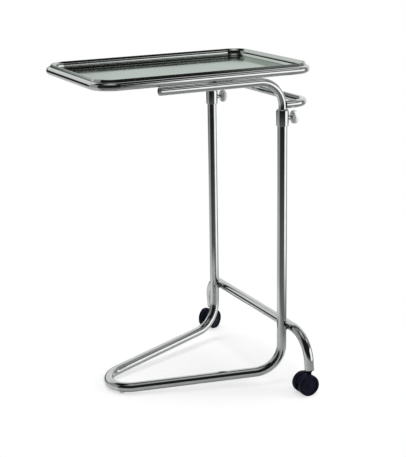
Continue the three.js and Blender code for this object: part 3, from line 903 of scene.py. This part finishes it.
def push_handle():
    """U of tube whose plain ends run into the backs of the uprights."""
    saddle = 0.62  # how far up the upright's side the ends of the tube reach, as a share of its radius
    inset = math.sqrt(UPPER_OUTER**2 - (UPPER_OUTER * saddle) ** 2)
    start = POSTS_X + inset
    corners = [
        (start, -POST_Y, HANDLE_Z),
        (HANDLE_X, -POST_Y, HANDLE_Z),
        (HANDLE_X, POST_Y, HANDLE_Z),
        (start, POST_Y, HANDLE_Z),
    ]
    radii = [HANDLE_RADIUS] * 2
    tube("push_handle", corners, radii, UPPER_OUTER, UPPER_INNER, "upper_frame", STEEL)


# ------------------------------------------------------------------ tray
def tray_section(rim_z, lip_z, floor, sheet):
    """Cut across one side of the tray, as (inset from the outside, height) pairs.

    It runs along the underside from the middle outwards, then over the flared lip and the rolled rim, and
    down the sloping rim and the wall to the floor.
    """
    roll = 1.2 * MM
    lip_flare = math.radians(22)
    rim_slope = math.radians(43)
    wall_top = Vector((10.0 * MM, floor + 14.2 * MM))
    wall_foot = Vector((11.8 * MM, floor + 8.5 * MM))
    floor_edge, floor_run = 22 * MM, 12 * MM
    roll_steps, bend_steps, foot_steps = 12, 8, 16
    lip_drop = rim_z - roll + roll * math.sin(lip_flare) - lip_z
    lip_spread = lip_drop * math.tan(lip_flare)
    roll_centre = Vector((roll * math.cos(lip_flare) + lip_spread, rim_z - roll))
    top = []
    for k in range(roll_steps + 1):
        angle = math.pi - lip_flare - (math.pi / 2 - lip_flare + rim_slope) * k / roll_steps
        top.append(roll_centre + Vector((math.cos(angle), math.sin(angle))) * roll)
    top.insert(0, top[0] - Vector((lip_spread, lip_drop)))
    bend_reach = 2.4 * MM
    along_rim = (top[-1] - wall_top).normalized()
    down_wall = (wall_foot - wall_top).normalized()
    bend_start, bend_end = wall_top + along_rim * bend_reach, wall_top + down_wall * bend_reach
    for k in range(bend_steps + 1):
        t = k / bend_steps
        top.append(bend_start * (1 - t) ** 2 + wall_top * (2 * t * (1 - t)) + bend_end * t**2)
    for k in range(foot_steps + 1):
        angle = math.pi / 2 * k / foot_steps
        across = (floor_edge - wall_foot.x) * (1 - math.cos(angle))
        down = (wall_foot.y - floor) * math.sin(angle)
        top.append(Vector((wall_foot.x + across, wall_foot.y - down)))
    top.append(Vector((floor_edge + floor_run, floor)))
    under = []
    for i, point in enumerate(top):
        run = (top[min(i + 1, len(top) - 1)] - top[max(i - 1, 0)]).normalized()
        under.append(point + Vector((run.y, -run.x)) * sheet)
    return under[::-1] + top


def corner_loop(x0, x1, half, radius, corner_steps=16):
    """A rounded rectangle's points, with the same count whatever its size."""
    points = []
    centres = [(x1 - radius, half - radius, 0), (x0 + radius, half - radius, 90)]
    centres += [(x0 + radius, radius - half, 180), (x1 - radius, radius - half, 270)]
    for cx, cy, start in centres:
        for k in range(corner_steps + 1):
            angle = math.radians(start + 90 * k / corner_steps)
            points.append((cx + radius * math.cos(angle), cy + radius * math.sin(angle)))
    return points


def tray():
    """Pressed tray: flat floor, drawn walls and a narrow rolled rim with a flared lip."""
    half, plan_radius, sheet = TRAY_HIGH.y, 55.5 * MM, 1.1 * MM
    depth, lip_gap, tightest = 20 * MM, 0.5 * MM, 4 * MM
    section = tray_section(TRAY_HIGH.z, RING_HIGH.z + lip_gap, TRAY_HIGH.z - depth, sheet)
    verts, faces = [], []
    for inset, z in section:
        radius = max(plan_radius - inset, tightest)
        for x, y in corner_loop(TRAY_LOW.x + inset, TRAY_HIGH.x - inset, half - inset, radius):
            verts.append((x, y, z))
    count = len(corner_loop(TRAY_LOW.x, TRAY_HIGH.x, half, plan_radius))
    for row in range(len(section) - 1):
        a, b = row * count, (row + 1) * count
        for k in range(count):
            n = (k + 1) % count
            faces.append([a + k, a + n, b + n, b + k])
    last = (len(section) - 1) * count
    faces.append([last + k for k in range(count)])
    faces.append(list(range(count))[::-1])
    new_piece("instrument_tray", verts, faces, "tray", SATIN, ["instrument_tray"])


SINGLE_PARTS = (base_frame, crossbar, tray_ring, push_handle, tray)
PAIRED_PARTS = (
    crossbar_weld,
    collar,
    guide_bush,
    toe_glide,
    caster_socket,
    clamp_pad,
    clamp_screw,
    clamp_knob,
    caster_body,
    caster_stem,
    caster_axle,
    wheels,
    upright,
    slide_plug,
    end_plug,
    ring_tab,
)
for build in SINGLE_PARTS:
    build()
for near_far, side_sign in SIDES.items():
    for build in PAIRED_PARTS:
        build(near_far, side_sign)


# ------------------------------------------------------------------ stage, light and camera
HEADING = math.radians(26.60)  # the camera looks along +Y, turned this far towards +X
TILT = math.radians(16.12)  # and this far down
ROLL = math.radians(-0.95)
CAMERA_PLACE = Vector((-1.36145, -2.86621, 1.37772))
LENS = 87.38
SENSOR = 36.0


def camera():
    """A camera before the near side, to its left, looking slightly down on the tray."""
    flat = math.cos(TILT)
    forward = Vector((math.sin(HEADING) * flat, math.cos(HEADING) * flat, -math.sin(TILT)))
    level = Vector((math.cos(HEADING), -math.sin(HEADING), 0))
    above = level.cross(forward)
    right = level * math.cos(ROLL) + above * math.sin(ROLL)
    up = above * math.cos(ROLL) - level * math.sin(ROLL)
    data = bpy.data.cameras.new("camera")
    data.lens, data.sensor_width, data.sensor_fit = LENS, SENSOR, "AUTO"
    data.clip_start, data.clip_end = 0.05, 50
    eye = bpy.data.objects.new("camera", data)
    bpy.context.scene.collection.objects.link(eye)
    turn = Matrix((right, up, -forward)).transposed().to_4x4()
    eye.matrix_world = Matrix.Translation(CAMERA_PLACE) @ turn
    bpy.context.scene.camera = eye


def floor():
    """A round pale floor that fades out at its rim."""
    centre, radius, steps = Vector((-0.02, 0.0, 0.0)), 0.78, 96
    fade_start, fade_end, opacity = radius * 0.5, radius * 0.98, 0.4
    mesh = bpy.data.meshes.new("floor")
    verts = [tuple(centre)]
    for k in range(steps):
        angle = 2 * math.pi * k / steps
        verts.append((centre.x + radius * math.cos(angle), centre.y + radius * math.sin(angle), 0.0))
    mesh.from_pydata(verts, [], [[0, 1 + k, 1 + (k + 1) % steps] for k in range(steps)])
    shader = Shader("floor", Roughness=0.9, Specular_IOR_Level=0.1)
    shader.set("Base Color", rgba(0.88, 0.88, 0.88))
    place = shader.place()
    offset = shader.add("VectorMath", {0: place, 1: tuple(centre)}, operation="SUBTRACT").outputs["Vector"]
    away = shader.add("VectorMath", {0: offset}, operation="LENGTH").outputs["Value"]
    shader.set("Alpha", shader.fit(away, fade_start, fade_end, opacity, 0.0))
    mesh.materials.append(shader.material)
    ground = bpy.data.objects.new("floor", mesh)
    bpy.context.scene.collection.objects.link(ground)


def studio_world():
    """White to the eye; in reflections, a dim room with soft white panels."""
    world = bpy.data.worlds.new("studio")
    bpy.context.scene.world = world
    world.use_nodes = True
    tree = world.node_tree
    tree.nodes.clear()

    def add(kind, inputs=None, **settings):
        made = tree.nodes.new("ShaderNode" + kind)
        for key, value in settings.items():
            setattr(made, key, value)
        for key, value in (inputs or {}).items():
            if isinstance(value, bpy.types.NodeSocket):
                tree.links.new(value, made.inputs[key])
            else:
                made.inputs[key].default_value = value
        return made

    def calc(operation, a, b=0.0):
        return add("Math", {0: a, 1: b}, operation=operation).outputs["Value"]

    def ramp(value, low, high):
        inputs = {"Value": value, "From Min": low, "From Max": high, "To Min": 0.0, "To Max": 1.0}
        return add("MapRange", inputs, interpolation_type="SMOOTHSTEP").outputs["Result"]

    def band(value, low, high, soft):
        return calc("MULTIPLY", ramp(value, low - soft, low + soft), ramp(value, high + soft, high - soft))

    way = add("TexCoord").outputs["Generated"]
    spin = {"Vector": way, "Rotation": (0.0, 0.0, HEADING)}
    turned_way = add("Mapping", spin, vector_type="VECTOR").outputs["Vector"]
    parts = add("SeparateXYZ", {"Vector": turned_way})
    x, y, z = (parts.outputs[k] for k in "XYZ")
    # Bearing is 0 towards the camera and positive to the right of it, in degrees; height is degrees up.
    back_y = calc("MULTIPLY", y, -1.0)
    bearing = calc("MULTIPLY", calc("ARCTAN2", x, back_y), 180 / math.pi)
    height = calc("MULTIPLY", calc("ARCSINE", z), 180 / math.pi)

    def panel(across, up, soft, strength):
        """A soft-edged patch of light between two bearings and two heights."""
        area = calc("MULTIPLY", band(bearing, *across, soft), band(height, *up, soft))
        return calc("MULTIPLY", area, strength)

    ceiling = calc("MULTIPLY", ramp(height, 70, 82), 0.45)
    camera_side = band(bearing, -62, 48, 3)
    above_camera = calc("MULTIPLY", camera_side, calc("MULTIPLY", band(height, 58, 90, 8), 0.42))
    below_camera = calc("MULTIPLY", camera_side, calc("MULTIPLY", ramp(height, -9, -25), 0.21))
    right_window = panel(across=(50, 86), up=(-19, 17), soft=2.5, strength=1.5)
    right_window_end = panel(across=(86, 99), up=(-19, 15), soft=2.5, strength=1.5)
    right_window_top = panel(across=(62, 86), up=(17, 35), soft=2.5, strength=0.16)
    right_high_strip = panel(across=(60, 84), up=(38, 52), soft=2, strength=0.95)
    right_wall_high = panel(across=(88, 128), up=(19, 60), soft=4, strength=0.36)
    right_wall_low = panel(across=(99, 128), up=(-60, 17), soft=3, strength=0.28)
    right_floor = panel(across=(50, 99), up=(-70, -21), soft=2.5, strength=0.30)
    back_window = panel(across=(128, 190), up=(-16, 56), soft=4, strength=0.92)
    back_window_end = panel(across=(-190, -172), up=(-16, 56), soft=4, strength=0.92)
    back_floor = panel(across=(128, 190), up=(-60, -18), soft=3, strength=0.50)
    left_wall = panel(across=(-112, -61), up=(-60, 40), soft=3, strength=0.37)
    left_floor = panel(across=(-112, -61), up=(-60, -15), soft=4, strength=0.25)
    back_left_window = panel(across=(-172, -112), up=(9, 50), soft=4, strength=0.85)
    back_left_floor = panel(across=(-190, -112), up=(-60, -12), soft=3, strength=0.62)
    layers = (
        ceiling,
        above_camera,
        below_camera,
        right_window,
        right_window_end,
        right_window_top,
        right_high_strip,
        right_wall_high,
        right_wall_low,
        right_floor,
        back_window,
        back_window_end,
        back_floor,
        left_wall,
        left_floor,
        back_left_window,
        back_left_floor,
    )
    total = 0.015  # the dark room itself
    for layer in layers:
        total = calc("ADD", layer, total)
    room = add("Background", {"Color": rgba(1.0, 1.0, 1.0), "Strength": total})
    white = add("Background", {"Color": rgba(1.0, 1.0, 1.0), "Strength": 1.0})
    eye = add("LightPath").outputs["Is Camera Ray"]
    shown = add("MixShader", {0: eye, 1: room.outputs[0], 2: white.outputs[0]})
    output = add("OutputWorld")
    tree.links.new(shown.outputs[0], output.inputs["Surface"])


def soft_light(name, place, target, size, power):
    """A round soft light that the eye and the polished steel don't see: the room above is their picture."""
    data = bpy.data.lights.new(name, "AREA")
    data.shape, data.size, data.energy = "DISK", size, power
    light = bpy.data.objects.new(name, data)
    bpy.context.scene.collection.objects.link(light)
    aim = Vector(target) - Vector(place)
    light.location = place
    light.rotation_mode = "QUATERNION"
    light.rotation_quaternion = aim.to_track_quat("-Z", "Y")
    light.visible_camera = False
    light.visible_glossy = False


def lights():
    soft_light("overhead", place=(-0.2, 0.3, 3.2), target=(0, 0, 0), size=2.4, power=120)
    soft_light("right_side", place=(2.2, -1.6, 1.6), target=(0.1, 0, 0.6), size=1.6, power=40)
    soft_light("front_fill", place=(-0.6, -3.4, 2.0), target=(0, 0, 0.5), size=2.0, power=60)


camera()
floor()
studio_world()
lights()
bpy.context.scene.view_settings.view_transform = "Standard"
